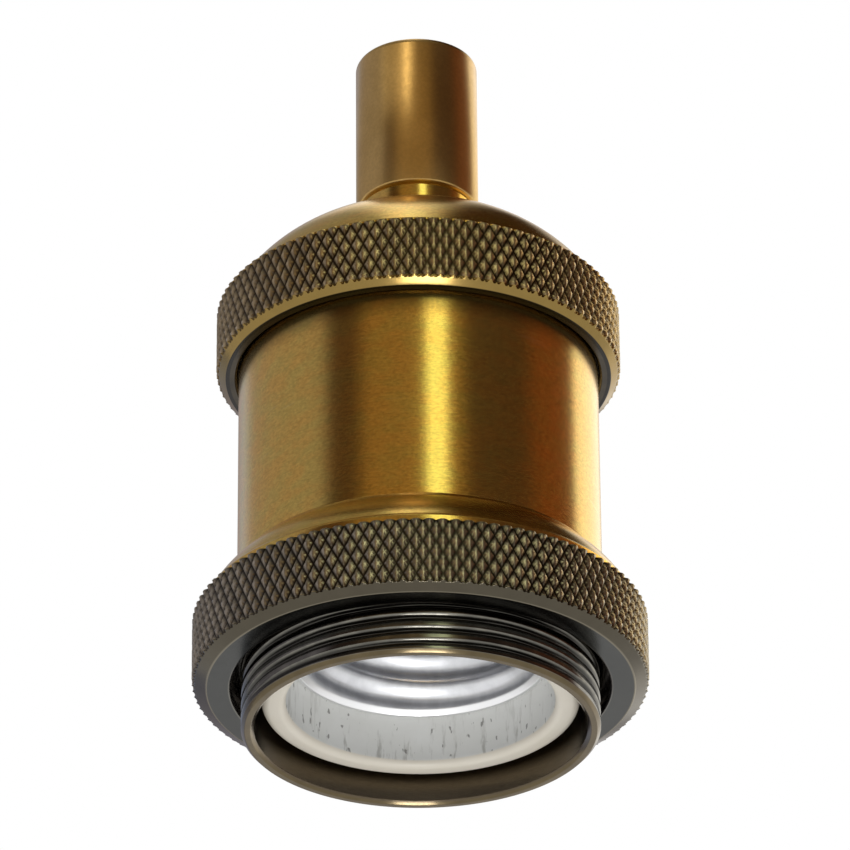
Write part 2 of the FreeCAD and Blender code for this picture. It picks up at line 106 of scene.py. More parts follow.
# %% Camera from below
aim = Vector((0, 0, 37.89 * mm))
look_up = math.radians(28.72)
distance = 728 * mm
field_of_view = math.radians(7.41)
lean = math.radians(-0.40)
shift = 0.0074

camera = bpy.data.objects.new("camera", bpy.data.cameras.new("camera"))
bpy.context.scene.collection.objects.link(camera)
camera.data.angle = field_of_view
camera.data.shift_x = shift
camera.data.clip_start = 0.01
camera.location = aim - distance * Vector((0, math.cos(look_up), math.sin(look_up)))
turn = (aim - camera.location).to_track_quat("-Z", "Y").to_matrix() @ Matrix.Rotation(lean, 3, "Z")
camera.rotation_euler = turn.to_euler()
bpy.context.scene.camera = camera
print("camera at", [round(v, 3) for v in camera.location], "lens", round(camera.data.lens, 1), "mm")

# %% [markdown]
# ## Shader maths
# Every finish below is a formula on the place of a point. Node trees are hard to read when they are
# wired by hand, so one small class wraps a socket and lets Python's operators add the Math nodes,
# and one method makes any other node from its type, its settings and its inputs.

# %% A value that follows a socket
class Value:
    """One output socket. Arithmetic on it adds Math nodes to the same tree."""

    def __init__(self, shader, socket):
        self.shader, self.socket = shader, socket

    def math(self, operation, *others):
        inputs = dict(enumerate((self, *others)))
        return self.shader.node("ShaderNodeMath", {"operation": operation}, inputs)

    def __add__(self, other):
        return self.math("ADD", other)

    def __sub__(self, other):
        return self.math("SUBTRACT", other)

    def __mul__(self, other):
        return self.math("MULTIPLY", other)

    def __pow__(self, other):
        return self.math("POWER", other)

    def ramp(self, low, high, start=0.0, end=1.0):
        """Runs smoothly from start to end as the value goes from low to high."""
        return self.shader.node("ShaderNodeMapRange", {"interpolation_type": "SMOOTHSTEP"},
                                {"Value": self, "From Min": low, "From Max": high,
                                 "To Min": start, "To Max": end})

    def between(self, low, high, edge):
        """1 where the value lies between low and high, with soft edges of the given width."""
        return self.ramp(low - edge, low + edge) * self.ramp(high - edge, high + edge, 1.0, 0.0)


# %% A shader that makes nodes
class Shader:
    """A material's or the world's node tree."""

    def __init__(self, tree):
        self.tree = tree
        tree.nodes.clear()

    def node(self, kind, settings=None, inputs=None, output=0):
        """Adds a node with its settings and inputs, and gives one of its outputs."""
        made = self.tree.nodes.new(kind)
        for key, value in (settings or {}).items():
            setattr(made, key, value)
        for key, value in (inputs or {}).items():
            if isinstance(value, Value):
                self.tree.links.new(value.socket, made.inputs[key])
            elif value is not None:
                made.inputs[key].default_value = value
        return Value(self, made.outputs[output]) if len(made.outputs) else made

    def mix(self, amount, first, second):
        """Colour mix: first where amount is 0, second where it is 1."""
        inputs = {0: amount, 6: rgba(first), 7: rgba(second)}
        return self.node("ShaderNodeMix", {"data_type": "RGBA"}, inputs, output=2)

    def parts(self, vector):
        """The x, y and z of a vector."""
        separated = self.node("ShaderNodeSeparateXYZ", inputs={0: vector}).socket.node
        return [Value(self, part) for part in separated.outputs]

    def spot(self):
        """The point's place on the piece, in metres."""
        return self.node("ShaderNodeTexCoord", output="Object")

    def place(self):
        """The point's place, and its distance from the axis and its height, both in mm."""
        spot = self.spot()
        x, y, z = self.parts(spot)
        return spot, (x * x + y * y) ** 0.5 * (1 / mm), z * (1 / mm)

    def noise(self, spot, stretch, detail, rough=0.55):
        """Cloudy noise from 0 to 1; stretch gives its waves per metre along x, y and z."""
        stretched = self.node("ShaderNodeVectorMath", {"operation": "MULTIPLY"}, {0: spot, 1: stretch})
        inputs = {"Vector": stretched, "Scale": 1.0, "Detail": detail, "Roughness": rough}
        return self.node("ShaderNodeTexNoise", inputs=inputs)


def rgba(colour):
    """A colour link as it is, or three numbers with alpha 1."""
    return colour if isinstance(colour, Value) else (*colour, 1.0)


def new_material(name):
    """A new material and the shader of its tree."""
    material = bpy.data.materials.new(name)
    material.use_nodes = True
    return material, Shader(material.node_tree)


# %% [markdown]
# ## The studio
# Metal shows what stands round it, so the room is as much a part of its look as the finish is. The
# reflections see what a product table has round it: a cool window on the left, a warm wall behind the
# lens, dark felt on the right with a red curtain, and a white screen and wall behind. The room is
# drawn by the world's own nodes. Each thing in it is a stretch of headings, in degrees from the front
# with the right positive, soft at its edges, and adds its colour to the felt's.

# %% Room
felt_colour = (0.080, 0.050, 0.038)
room = {
    "window": (-176, -61, 7, (0.30, 0.31, 0.36)),
    "bright pane": (-156, -138, 9, (0.11, 0.19, 0.33)),
    "warm wall": (-36, 27, 8, (0.215, 0.155, 0.07)),
    "red curtain": (76, 118, 11, (0.11, 0.024, 0.0)),
    "white screen": (117, 166, 4, (1.45, 1.45, 1.40)),
    "white wall": (170, 200, 5, (0.95, 0.95, 0.95)),
    "white wall beyond": (-200, -176, 5, (0.6, 0.6, 0.6)),
}


def room_light(shader, around):
    """Colour seen at a heading: the felt's, and that of whatever stands there."""
    light = felt_colour
    for low, high, edge, colour in room.values():
        light = shader.node("ShaderNodeVectorMath", {"operation": "MULTIPLY_ADD"},
                            {0: around.between(low, high, edge), 1: colour, 2: light})
    return light


print("room of", len(room), "things")

# %% [markdown]
# ## The ceiling
# Overhead, a pale ceiling is dim on the left and at the front and falls off to dark on the right. Its
# tints meet where the x or y of the direction, as a unit vector, passes through the ranges below, and
# the ceiling takes over from the room where z does.

# %% Ceiling
ceiling_pale = (1.38, 1.33, 1.22)
ceiling_left, left_fade = (0.30, 0.28, 0.24), (-0.195, -0.05)
ceiling_right, right_fade = (0.045, 0.024, 0.010), (-0.04, 0.16)
ceiling_front, front_fade = (0.20, 0.185, 0.155), (-0.45, -0.12)
ceiling_edge = (0.60, 0.76)


def ceiling_light(shader, x, y):
    """Colour of the ceiling where a direction, as a unit vector, has this x and y."""
    light = shader.mix(x.ramp(*left_fade), ceiling_left, ceiling_pale)
    light = shader.mix(x.ramp(*right_fade), light, ceiling_right)
    return shader.mix(y.ramp(*front_fade), ceiling_front, light)


# %% [markdown]
# ## What each ray sees
# Only what shines needs that room. The camera sees plain white, and what isn't shiny is lit by one soft
# level from all sides. The Light Path node tells the kinds of ray apart. Cycles can also send rays where
# the world is bright, and for those its flags are all 0, so that way of sampling is turned off.

# %% World
straight_rays = ["Is Camera Ray", "Is Transmission Ray"]
background_rays = [*straight_rays, "Is Glossy Ray"]
soft_level = 0.7
white = (1.0, 1.0, 1.0)


def ray_kinds(shader, names):
    """1 for a ray of any of the named kinds, 0 for the rest."""
    path = shader.node("ShaderNodeLightPath").socket.node.outputs
    kinds = [Value(shader, path[name]) for name in names]
    return sum(kinds[1:], kinds[0])


def build_world():
    """World whose glossy rays see the room, diffuse rays a level and camera rays white."""
    world = bpy.data.worlds.new("studio")
    world.cycles.sampling_method = "NONE"
    world.use_nodes = True
    bpy.context.scene.world = world
    shader = Shader(world.node_tree)
    x, y, z = shader.parts(shader.node("ShaderNodeTexCoord", output="Generated"))
    around = x.math("ARCTAN2", y * -1.0) * math.degrees(1)
    light = shader.mix(z.ramp(*ceiling_edge), room_light(shader, around), ceiling_light(shader, x, y))
    light = shader.mix(ray_kinds(shader, ["Is Diffuse Ray"]), light, (soft_level,) * 3)
    light = shader.mix(ray_kinds(shader, straight_rays), light, white)
    sky = shader.node("ShaderNodeBackground", inputs={"Color": light, "Strength": 1.0})
    shader.node("ShaderNodeOutputWorld", inputs={"Surface": sky})


build_world()
bpy.context.scene.view_settings.view_transform = "Standard"
print("world with", len(bpy.context.scene.world.node_tree.nodes), "nodes")

# %% [markdown]
# ## The floor
# A sheet of matt white paper lies well below the holder. Lit by the room alone it would come out
# grey, so for every ray that can see a background it also glows a little, up to white, while the
# holder still shades it.

# %% Floor
floor_level = -1.1
floor_half = 2.5
paper_colour = 0.8
paper_glow = 0.42


def build_floor():
    """White paper that glows a little for the rays that see a background."""
    mesh = bpy.data.meshes.new("floor")
    corners = [(x * floor_half, y * floor_half, floor_level)
               for x, y in ((-1, -1), (1, -1), (1, 1), (-1, 1))]
    mesh.from_pydata(corners, [], [(0, 1, 2, 3)])
    floor = bpy.data.objects.new("floor", mesh)
    bpy.context.scene.collection.objects.link(floor)
    material, shader = new_material("white_paper")
    paper = shader.node("ShaderNodeBsdfDiffuse", inputs={"Color": rgba((paper_colour,) * 3)})
    strength = ray_kinds(shader, background_rays) * paper_glow
    glow = shader.node("ShaderNodeEmission", inputs={"Color": rgba(white), "Strength": strength})
    both = shader.node("ShaderNodeAddShader", inputs={0: paper, 1: glow})
    shader.node("ShaderNodeOutputMaterial", inputs={"Surface": both})
    mesh.materials.append(material)


build_floor()
print("floor", 2 * floor_half, "m wide at", floor_level, "m")

# %% [markdown]
# ## The lamps
# A tall strip lamp a little right of the lens draws the one bright line down the body, and a small
# lamp below picks out the cone under the cap. The grip is satin, and a strip that bright would burn it
# out, so a flag keeps it off the grip, which has two weaker lamps of its own on the left: a narrow one
# and a wide fill. A warm lamp on the right lights the knurls alone, and each diamond there catches it
# along one edge.
#
# A lamp's power follows from how bright its face should look: a matt face of radiance L gives off
# pi L watts to the square metre. Each place is an azimuth from the front, right positive, and an
# elevation, in degrees, with the distance and the two sides of the lamp in metres.

# %% Soft lamps
def soft_lamp(name, azimuth, elevation, reach, width, tall, radiance, colour=white, target=aim):
    """Rectangular lamp, out of the camera's sight, that faces its target."""
    lamp = bpy.data.objects.new(name, bpy.data.lights.new(name, "AREA"))
    bpy.context.scene.collection.objects.link(lamp)
    lamp.data.shape = "RECTANGLE"
    lamp.data.size, lamp.data.size_y = width, tall
    lamp.data.energy, lamp.data.color = radiance * math.pi * width * tall, colour
    lamp.visible_camera = False
    around, up = math.radians(azimuth), math.radians(elevation)
    way = Vector((math.sin(around) * math.cos(up), -math.cos(around) * math.cos(up), math.sin(up)))
    lamp.location = target + reach * way
    lamp.rotation_euler = (target - lamp.location).to_track_quat("-Z", "Y").to_euler()
    print(name, round(lamp.data.energy, 3), "W")
    return lamp


grip_middle = Vector((0, 0, sum(corner.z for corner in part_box("cord_grip")) / 2))
strip = soft_lamp("strip_lamp", azimuth=11.5, elevation=24, reach=2.0, width=0.40, tall=1.7,
                  radiance=1.75, colour=(0.86, 1.0, 0.66))
soft_lamp("lamp_below", azimuth=8, elevation=-70, reach=1.0, width=0.28, tall=0.16, radiance=17)
knurl_lamp = soft_lamp("knurl_lamp", azimuth=108, elevation=28.7, reach=1.0, width=0.34, tall=0.6,
                       radiance=1.5, colour=(1.0, 0.86, 0.52))
grip_lamp = soft_lamp("grip_lamp", azimuth=-17, elevation=28.7, reach=0.5, width=0.08, tall=0.25,
                      radiance=2.3, colour=(1.0, 0.90, 0.70), target=grip_middle)
grip_fill = soft_lamp("grip_fill", azimuth=-36, elevation=28.7, reach=0.5, width=0.50, tall=0.25,
                      radiance=0.46, colour=(1.0, 0.92, 0.75), target=grip_middle)

# %% [markdown]
# ## Turned surfaces
# A turned piece is a closed half-section carried round an axis. The section is written corner by
# corner, and each corner is eased by a small round, because no turned edge is sharp. Threads and
# knurls are reliefs: functions that lower the radius of a point from its angle and height.

# %% Rounded corners
usual_round = 0.06
small_round = 0.3
nearly_straight = 1.5


def turned_by(start, angles):
    """The vector start turned by each of the angles, as an (n, 2) array."""
    spin = np.array([[np.cos(angles), -np.sin(angles)], [np.sin(angles), np.cos(angles)]])
    return np.einsum("ijk,j->ki", spin, start)


def corner_arc(before, corner, after, size):
    """Points of the arc of radius size that eases a corner, or the corner where none is wanted.

    The arc touches both sides of the corner at a distance of its radius over the tangent of half the
    corner's angle, and at less than half of a side's length. Where that half angle, in radians, is
    over nearly_straight, the corner stays.
    """
    back, ahead = before - corner, after - corner
    back_length, ahead_length = np.hypot(*back), np.hypot(*ahead)
    back, ahead = back / back_length, ahead / ahead_length
    half = math.acos(np.clip(back @ ahead, -1, 1)) / 2
    if size <= 0 or half > nearly_straight:
        return corner[None]
    reach = min(size / math.tan(half), 0.45 * back_length, 0.45 * ahead_length)
    size = reach * math.tan(half)
    inward = (back + ahead) / np.hypot(*(back + ahead))
    centre = corner + inward * size / math.sin(half)
    start, end = corner + back * reach - centre, corner + ahead * reach - centre
    way = np.sign(start[0] * end[1] - start[1] * end[0])
    angles = way * np.linspace(0, math.pi - 2 * half, 4 if size < small_round else 7)
    return centre + turned_by(start, angles)


sample = corner_arc(np.array([1.0, 0.0]), np.zeros(2), np.array([0.0, 1.0]), usual_round)
print("a square corner is eased by", len(sample), "points")


# %% Half-sections
support_gap = 0.12
shortest_run = 0.5


def half_section(corners):
    """Closed outline through corners (radius, height, round, step), in mm, as an (n, 2) array.

    A corner with a round is replaced by a short arc. A run is cut into equal steps of the size given
    with the corner it leaves. A run with no step gets only a row near each end, which keeps the
    smooth shading of the rounds off the plain surface.
    """
    points = [np.array(c[:2], float) for c in corners]
    rounds = [c[2] if len(c) > 2 else usual_round for c in corners]
    steps = [c[3] if len(c) > 3 else None for c in corners]
    following = [*range(1, len(points)), 0]
    arcs = [corner_arc(points[i - 1], points[i], points[j], rounds[i]) for i, j in enumerate(following)]
    outline = []
    for i, j in enumerate(following):
        run = arcs[j][0] - arcs[i][-1]
        length = float(np.hypot(*run))
        if steps[i]:
            cuts = max(1, round(length / steps[i]))
            share = np.arange(1, cuts) / cuts
        else:
            rounded = rounds[i] > 0 or rounds[j] > 0
            support = support_gap / max(length, 1e-9)
            share = np.array([support, 1 - support] if rounded and length > shortest_run else [])
        outline += [arcs[i], arcs[i][-1] + share[:, None] * run]
    return np.concatenate(outline)


def arc_run(start, end, bulge, count):
    """Points between start and end on an arc that stands out by bulge to the left of the way.

    The arc's radius is the square of its chord over eight times the bulge, plus half the bulge.
    """
    start, end = np.array(start, float), np.array(end, float)
    chord = end - start
    length = np.hypot(*chord)
    left = np.array([-chord[1], chord[0]]) / length
    radius = length ** 2 / (8 * bulge) + bulge / 2
    centre = (start + end) / 2 + left * (bulge - radius)
    sweep = -2 * math.asin(length / 2 / radius)
    angles = np.linspace(0, sweep, count + 2)[1:-1]
    return [(*point, 0) for point in centre + turned_by(start - centre, angles)]

# %% Surface from a grid
def closed_grid(name, points, body, crease):
    """Mesh of a grid (rows, columns, 3), in metres, closed along both ways.

    Each cell becomes two triangles. They are split along the diagonal whose ends lie lower, as
    crease gives it, so that a groove runs along an edge and is not cut across.
    """
    rows, columns = points.shape[:2]
    a = np.arange(rows * columns).reshape(rows, columns)
    b, d = np.roll(a, -1, 1), np.roll(a, -1, 0)
    c = np.roll(d, -1, 1)
    level = crease.ravel()
    cross = (level[a] + level[c] <= level[b] + level[d])[..., None]
    first = np.where(cross, np.stack([a, b, c], -1), np.stack([a, b, d], -1))
    second = np.where(cross, np.stack([a, c, d], -1), np.stack([b, c, d], -1))
    faces = np.concatenate([first.reshape(-1, 3), second.reshape(-1, 3)])
    mesh = bpy.data.meshes.new(name)
    mesh.vertices.add(rows * columns)
    mesh.vertices.foreach_set("co", points.reshape(-1).astype(np.float32))
    mesh.loops.add(faces.size)
    mesh.loops.foreach_set("vertex_index", faces.reshape(-1).astype(np.int32))
    mesh.polygons.add(len(faces))
    mesh.polygons.foreach_set("loop_start", np.arange(0, faces.size, 3, dtype=np.int32))
    mesh.update(calc_edges=True)
    mesh.validate()
    mesh.shade_smooth()
    piece = bpy.data.objects.new(name, mesh)
    bpy.context.scene.collection.objects.link(piece)
    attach(piece, body)
    print(name, len(faces), "triangles")
    return piece


# %% Turned pieces
node_slots = {row["node"]: row["material_slot"] for row in frame["record"]["subparts"]}


def turned(name, node, section, columns, reliefs):
    """Half-section (n, 2) in mm carried round the axis; each relief maps radius, height, angle."""
    angle = np.linspace(0, 2 * np.pi, columns, endpoint=False)[None]
    radius, height = section[:, :1] + 0 * angle, section[:, 1:] + 0 * angle
    for relief in reliefs:
        radius = relief(radius, height, angle)
    points = np.stack([radius * np.cos(angle), radius * np.sin(angle), height], -1) * mm
    body = frame["nodes"][node]["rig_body"]
    piece = closed_grid(name, points, body, radius)
    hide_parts(node)
    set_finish(piece, node_slots[node])
    return piece


print(len(node_slots), "nodes with", len(set(node_slots.values())), "finishes")

# %% [markdown]
# ## Knurl and thread
# A diamond knurl is rolled by two wheels whose ridges cross. Each set of ridges leaves helical
# grooves, and what stands between them is a field of diamonds with flat tops. With the count of
# grooves passed along each helix, a point's height is the lower of its distances from the nearest
# groove of each set. The grid has six cells to a diamond both ways, so every groove runs along the
# diagonals of cells. A thread is one ridge that climbs by its pitch in each turn.

# %% Knurl
knurl_pitch = 1.43
knurl_depth = 0.40
knurl_cells = 6
flank = 1.7
run_out = 0.45


def distance_from_groove(count):
    """0 on a whole number and 1 halfway to the next."""
    return 2 * np.abs(count - np.round(count))


def knurl_count(crest):
    """How many diamonds go round a rim of that radius."""
    return round(2 * math.pi * crest / knurl_pitch)


def knurl(crest, top, diamond_height):
    """Relief of a rolled diamond knurl: radius is cut to crest less the depth of the grooves.

    around and up count diamonds round the rim and down from its top edge. The grooves lie where
    around + up or around - up is whole. The height rises from them in a straight line, at the slope
    flank, so a diamond's top is flat past three tenths of the way from either. The wheels run out a
    little above the rim. Where the rim is turned away below, the cone cuts the diamonds off.
    """
    diamonds = knurl_count(crest)

    def relief(radius, height, angle):
        around, up = angle * diamonds / (2 * np.pi), (top - height) / diamond_height
        stand = np.minimum(distance_from_groove(around + up), distance_from_groove(around - up))
        cut = crest - knurl_depth * (1 - np.minimum(1.0, flank * stand))
        in_band = (height < top + run_out) & (radius > crest - 1.0)
        return np.where(in_band, np.minimum(radius, cut), radius)
    return relief


# %% Thread
def thread(major, depth, pitch, low, high, inside=False):
    """Relief of a right-hand thread on the wall of radius major, which runs out at both ends.

    The groove is a V whose depth falls linearly with the distance along the axis from the helix,
    and the crest between two grooves is flat for two fifths of the pitch.
    """
    way = -1 if inside else 1

    def relief(radius, height, angle):
        stand = np.clip(flank * distance_from_groove(height / pitch - angle / (2 * np.pi)), 0, 1)
        fade = np.clip(np.minimum(height - low, high - height) / (0.6 * pitch), 0, 1)
        on_wall = (np.abs(radius - major) < 0.02) & (height > low) & (height < high)
        return np.where(on_wall, radius - way * depth * (1 - stand) * fade, radius)
    return relief


print("knurl", knurl_depth, "mm deep,", knurl_cells, "cells to a diamond")

# %% [markdown]
# ## The sleeve
# One tube, turned from bar or drawn stock: a plain body with a shoulder at each end of it, where the
# ring and the cap stop, and a fine thread cut on both ends. The thread shows below the shade ring, so
# it is a real helix. Behind the skirt's thread is a relief, where the cutter runs out.

# %% Sleeve
sleeve_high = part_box("sleeve")[1] / mm
ring_low, ring_high = (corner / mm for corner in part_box("shade_ring"))
cap_low, cap_high = (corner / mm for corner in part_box("top_cap"))
thread_radius = 19.5
thread_pitch = 1.5
thread_depth = 0.62
thread_gap = 0.05
relief_depth, relief_length = 0.6, 1.2
shoulder_gap = 0.02
sleeve_bore = 18.05
sleeve_radius = sleeve_high.x
cap_shoulder = cap_low.z + 0.8
fine, coarse = thread_pitch / 12, thread_pitch / 5


def make_sleeve():
    """The tube's half-section, from its mouth up the outside, turned with a thread at each end."""
    relief, relief_low = thread_radius - relief_depth, ring_high.z - relief_length
    ring_shoulder, rim = ring_high.z - shoulder_gap, 0.4
    section = half_section([
        (sleeve_bore, rim, 0.08), (sleeve_bore + rim, 0, 0.12), (thread_radius - rim, 0, 0.12),
        (thread_radius, rim, 0.05, fine), (thread_radius, relief_low, 0.05),
        (relief, relief_low), (relief, ring_shoulder),
        (sleeve_radius, ring_shoulder, 0.12), (sleeve_radius, cap_shoulder, 0.1),
        (thread_radius, cap_shoulder, 0.05, fine),
        (thread_radius, sleeve_high.z - rim, 0.05), (thread_radius - rim, sleeve_high.z, 0.08),
        (sleeve_bore, sleeve_high.z, 0.1)])
    threads = [thread(thread_radius, thread_depth, thread_pitch, 0.35, ring_high.z - 1.1),
               thread(thread_radius, thread_depth, thread_pitch, cap_shoulder, sleeve_high.z)]
    return turned("sleeve_turned", "sleeve", section, 288, threads)


make_sleeve()

# %% [markdown]
# ## The shade ring
# A nut for the lamp shade, with a knurled rim, a plain band, and a slightly hollow cone that runs up
# to the body. The wheels are pressed in before the chamfer below the rim is turned, so the chamfer
# cuts the lowest diamonds off and the grooves run out on it.

# %% Shade ring
ring_crest = ring_high.x
ring_knurl_low = ring_low.z + 0.75
ring_knurl_high = ring_knurl_low + 7.25
ring_diamond = 2.55
ring_band, ring_band_high = 23.95, ring_knurl_high + 0.95
ring_flat = 23.3
ring_chamfer, ring_chamfer_rise = 24.2, 0.433
collar_radius, collar_hollow = 20.3, 0.25
mouth_radius, mouth_depth = 20.7, 1.0
inner_thread_depth = 0.3


def rim_rows(crest, low, high, diamond_height):
    """Section corners of a knurled rim, so that whole cells run down from its top edge."""
    cell = diamond_height / knurl_cells
    first = high - cell * math.floor((high - low) / cell)
    return [(crest, low, 0, 0.1), (crest, first, 0, cell), (crest, high, 0, 0.1)]


def make_shade_ring():
    """The ring's half-section, from its bore out and up, turned with its knurl and its thread."""
    bore = thread_radius + thread_gap
    foot = (ring_crest - 1.26, ring_band_high + 0.35)
    top = (collar_radius, ring_high.z - 0.35)
    section = half_section(
        [(bore, ring_low.z + 2.15), (mouth_radius, ring_low.z + mouth_depth, 0.1),
         (mouth_radius, ring_low.z, 0.15), (ring_flat, ring_low.z, 0.1, 0.3),
         (ring_chamfer, ring_low.z + ring_chamfer_rise, 0, 0.1)]
        + rim_rows(ring_crest, ring_knurl_low, ring_knurl_high, ring_diamond)
        + [(ring_band, ring_knurl_high, 0.05, 0.3), (ring_band, ring_band_high, 0.2), (*foot, 0.1)]
        + arc_run(foot, top, -collar_hollow, 8)
        + [(*top, 0.1), (collar_radius - 0.2, ring_high.z, 0.06), (bore, ring_high.z, 0.06, coarse)])
    low, high = ring_low.z + 2.2, ring_high.z - 0.1
    reliefs = [knurl(ring_crest, ring_knurl_high, ring_diamond),
               thread(bore, inner_thread_depth, thread_pitch, low, high, inside=True)]
    columns = knurl_count(ring_crest) * knurl_cells
    return turned("shade_ring_knurled", "shade_ring", section, columns, reliefs)


shade_ring = make_shade_ring()
print(knurl_count(ring_crest), "diamonds round the ring")

# %% [markdown]
# ## The cap
# Knurled rim, dome and neck are one turning, hollow under the dome to save brass and to leave room
# for the wires. Its flat underside has a fine lip where the sleeve goes in.

# %% Top cap
cap_crest = cap_high.x
cap_knurl_low = cap_low.z + 0.85
cap_knurl_high = cap_low.z + 7.85
cap_diamond = 2.655
cap_flat = 21.4
cap_chamfer, cap_chamfer_rise = 21.7, 0.232
neck_radius, neck_low = 6.4, cap_high.z - 3.5
dome_radius, dome_foot, dome_bulge = 21.2, cap_knurl_high + 0.8, 2.05
hollow_radius, hollow_foot, hollow_bulge = 18.75, dome_foot + 0.81, 0.945
seat_radius, seat = 9.15, cap_high.z - 5.7
cap_bore = 5.05


def make_top_cap():
    """The cap's half-section, with an arc of a circle for the dome and one for the hollow."""
    rim = cap_knurl_high + 0.4
    thread_bore, socket = thread_radius + thread_gap, sleeve_radius + 0.1
    thread_top = cap_shoulder + 6.4
    dome = arc_run((neck_radius, neck_low), (dome_radius, dome_foot), dome_bulge, 22)[::-1]
    section = half_section(
        [(socket + 0.35, cap_low.z, 0.08), (cap_flat, cap_low.z, 0.12),
         (cap_chamfer, cap_low.z + cap_chamfer_rise, 0, 0.1)]
        + rim_rows(cap_crest, cap_knurl_low, cap_knurl_high, cap_diamond)
        + [(cap_crest - 0.675, rim, 0.1), (dome_radius, rim, 0.1), (dome_radius, dome_foot, 0.15)]
        + dome + [(neck_radius, neck_low, 0.25), (neck_radius, cap_high.z, 0.1),
                  (cap_bore, cap_high.z, 0.1), (cap_bore, seat, 0.05), (seat_radius, seat, 0.05)]
        + arc_run((seat_radius, seat), (hollow_radius, hollow_foot), hollow_bulge, 8)
        + [(hollow_radius, hollow_foot, 0), (hollow_radius, thread_top),
           (thread_bore, thread_top, 0.06, coarse), (thread_bore, cap_shoulder),
           (socket, cap_shoulder), (socket, cap_low.z + 0.35, 0.08)])
    low = cap_shoulder + 0.1
    reliefs = [knurl(cap_crest, cap_knurl_high, cap_diamond),
               thread(thread_bore, inner_thread_depth, thread_pitch, low, thread_top, inside=True)]
    columns = knurl_count(cap_crest) * knurl_cells
    return turned("top_cap_knurled", "top_cap", section, columns, reliefs)


top_cap = make_top_cap()
print(knurl_count(cap_crest), "diamonds round the cap")

# %% [markdown]
# ## The lamp shell
# The lamp screws into a thin metal shell, rolled to the round lamp thread, with a flared lip that
# hooks on the porcelain and a flange at its closed end. The rolling moves the whole wall in and out,
# so one wave of radius against height and angle serves both its faces. The flange is open where the
# centre contact passes, so near that side the inner edge of the flange follows a slot.

# %% Lamp shell
shell_low, shell_high = (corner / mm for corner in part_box("screw_shell"))
shell_wall = 0.35
shell_major, shell_minor = 13.3, 12.2
shell_flare, flare_height = 0.48, 0.55
lamp_pitch, lamp_turns = 3.63, 5
shell_hole = 6.6
slot_half, slot_end = 4, 12.3


def lamp_thread(radius, height, angle):
    """The wall drawn in by a cosine of the turns climbed, faded out over half a turn at each end."""
    low = shell_low.z + shell_wall + 2.0 - lamp_pitch / 2
    high = low + lamp_turns * lamp_pitch
    turns = (height - low) / lamp_pitch - angle / (2 * np.pi)
    fade = np.clip(np.minimum(height - low, high - height) / (0.5 * lamp_pitch), 0, 1)
    drawn = fade * (shell_major - shell_minor) / 2 * (1 - np.cos(2 * np.pi * turns))
    on_wall = (radius > shell_major - 0.02) & (radius < shell_major + shell_wall + 0.02)
    return np.where(on_wall & (height > low) & (height < high), radius - drawn, radius)


def contact_slot(radius, height, angle):
    """The flange's inner edge: a round hole, and past it a slot with straight sides and end."""
    side, ahead = np.abs(np.cos(angle)), np.maximum(np.sin(angle), 1e-6)
    slot = np.minimum(slot_half / (side + 1e-6), slot_end / ahead)
    edge = np.maximum(shell_hole, np.where(np.sin(angle) > 0, slot, 0))
    return np.where(radius < shell_hole + 0.01, edge, radius)


def make_lamp_shell():
    """A thin wall, flared at the lip and turned in at its closed end, drawn in by the thread."""
    low, high = shell_low.z, shell_high.z
    outer = shell_major + shell_wall
    section = half_section(
        [(shell_major, low + flare_height, 0.25), (shell_major + shell_flare, low, 0.12),
         (shell_high.x, low, 0.12), (shell_high.x, low + shell_wall, 0.12),
         (outer, low + shell_wall, 0.1, 0.3), (outer, high, 0.3), (shell_hole, high, 0.1),
         (shell_hole, high - shell_wall, 0.1), (shell_major, high - shell_wall, 0.1, 0.3)])
    return turned("lamp_shell_rolled", "screw_shell", section, 288, [lamp_thread, contact_slot])


make_lamp_shell()

# %% [markdown]
# ## The nipple
# A short pipe with a fine thread all along it holds the grip, the cap, the nuts and the bridge
# together. It shows when the grip is unscrewed, so its thread is a real one too.

# %% Nipple
nipple_low, nipple_high = (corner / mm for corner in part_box("nipple"))
nipple_bore = 3.7
nipple_pitch = 1.0
nipple_chamfer = 0.35


def make_nipple():
    """A pipe with chamfered ends and a thread between them."""
    low, high, major = nipple_low.z, nipple_high.z, nipple_high.x
    section = half_section(
        [(nipple_bore, low, 0.1), (major - nipple_chamfer, low, 0.05),
         (major, low + nipple_chamfer, 0.02, nipple_pitch / 8), (major, high - nipple_chamfer, 0.02),
         (major - nipple_chamfer, high, 0.05), (nipple_bore, high, 0.1)])
    cut = thread(major, 0.5, nipple_pitch, low + 0.1, high - 0.1)
    return turned("nipple_threaded", "nipple", section, 96, [cut])


make_nipple()

# %% [markdown]
# ## Pieces that keep the frame's shape
# The grip, the porcelain, the bridge, the contacts and the small hardware already have the right
# shape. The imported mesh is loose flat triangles, though, and a round wall shows them as facets. Each
# of these pieces is a copy with its doubles merged, shaded smooth, and sharp where two faces meet at
# more than 30 degrees, as they do along a machined edge.

# %% Smooth copies
turned_nodes = {"sleeve", "shade_ring", "top_cap", "screw_shell", "nipple"}
sharp_angle = math.radians(30)


def smooth_copy(node):
    """A copy of a frame node with one vertex to a corner, which rides the same body."""
    source = frame["nodes"][node]
    mesh = bpy.data.meshes.new(node + "_smooth")
    made = bmesh.new()
    made.from_mesh(source.data)
    bmesh.ops.remove_doubles(made, verts=made.verts, dist=0.001 * mm)
    made.to_mesh(mesh)
    made.free()
    mesh.shade_smooth()
    mesh.set_sharp_from_angle(angle=sharp_angle)
    piece = bpy.data.objects.new(node + "_smooth", mesh)
    bpy.context.scene.collection.objects.link(piece)
    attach(piece, source["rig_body"])
    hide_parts(node)
    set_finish(piece, node_slots[node])
    return piece


pieces = {node: smooth_copy(node) for node in sorted(node_slots) if node not in turned_nodes}
print(len(pieces), "smooth copies")

